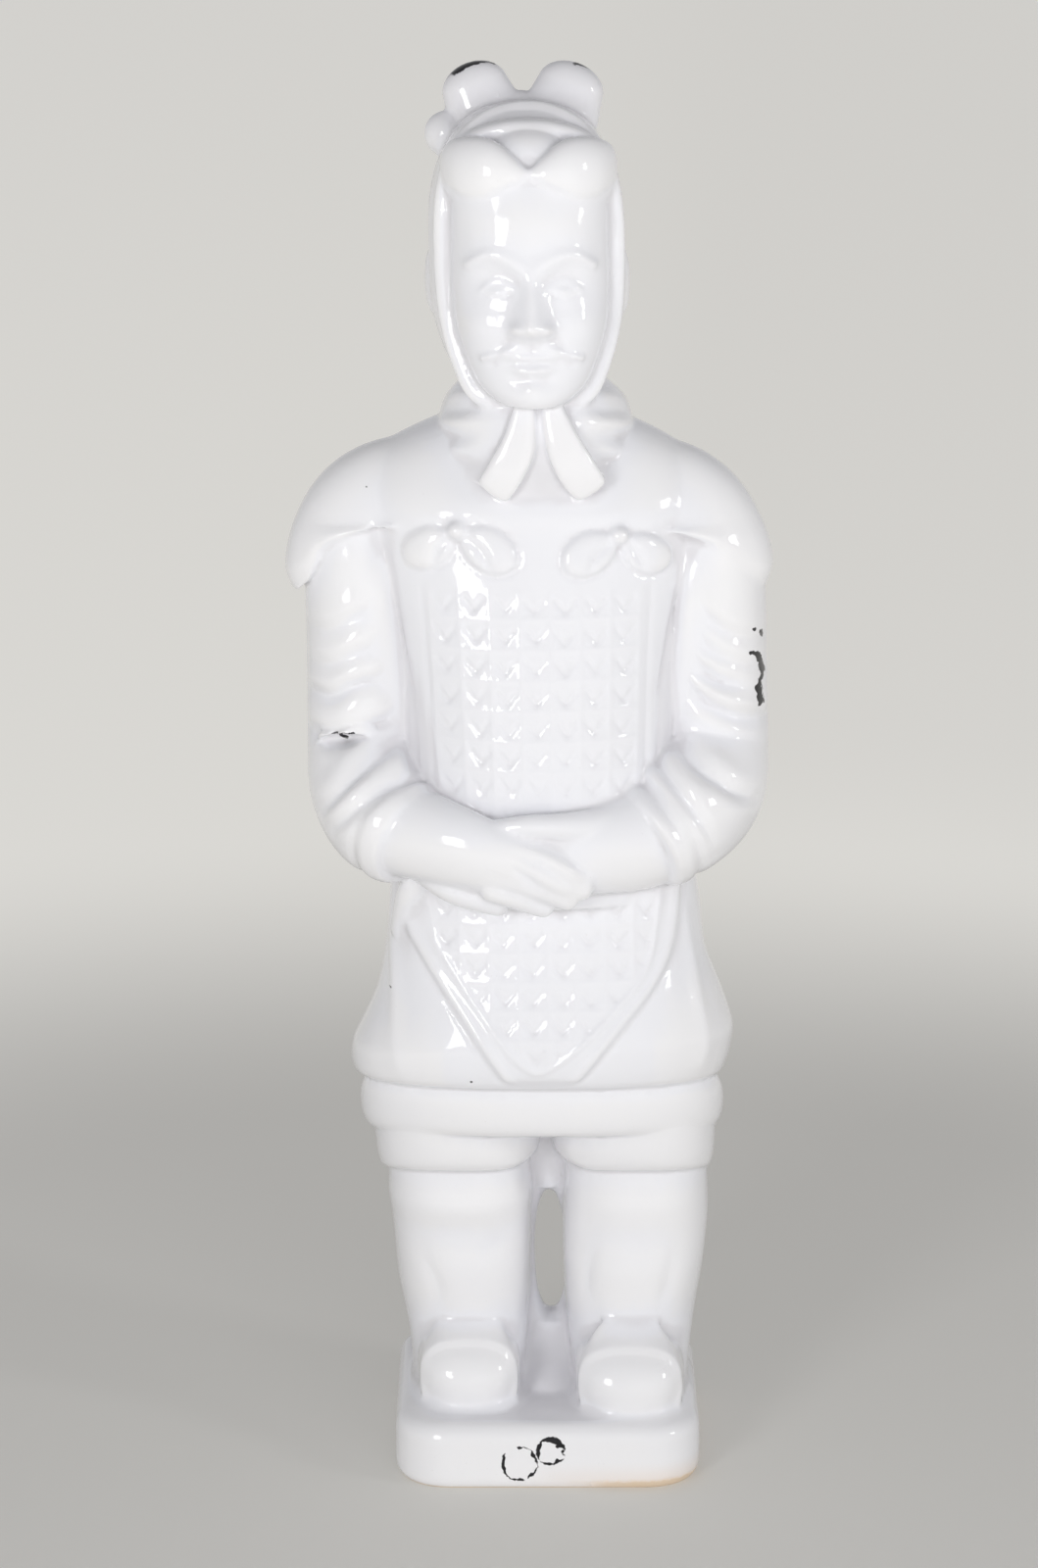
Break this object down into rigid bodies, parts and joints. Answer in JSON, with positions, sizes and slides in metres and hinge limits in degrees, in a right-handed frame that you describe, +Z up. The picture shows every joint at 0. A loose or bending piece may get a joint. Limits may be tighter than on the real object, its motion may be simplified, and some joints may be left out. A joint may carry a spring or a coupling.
{
  "type": "ceramic soldier figurine",
  "caption": "Standing armoured soldier in glazed white ceramic, hands folded at the waist, cast in one with a square plinth.",
  "frame": {"origin": "centre of the plinth's flat underside", "axes": "+Z up through the figure, which faces -Y; +X is the figure's left, the viewer's right"},
  "size_m": [0.1229, 0.0861, 0.3594],
  "materials": {
    "white_glaze": "glossy white glaze over buff clay"
  },
  "bodies": {
    "root": {"soldier_figurine": "white_glaze"}
  },
  "joints": []
}
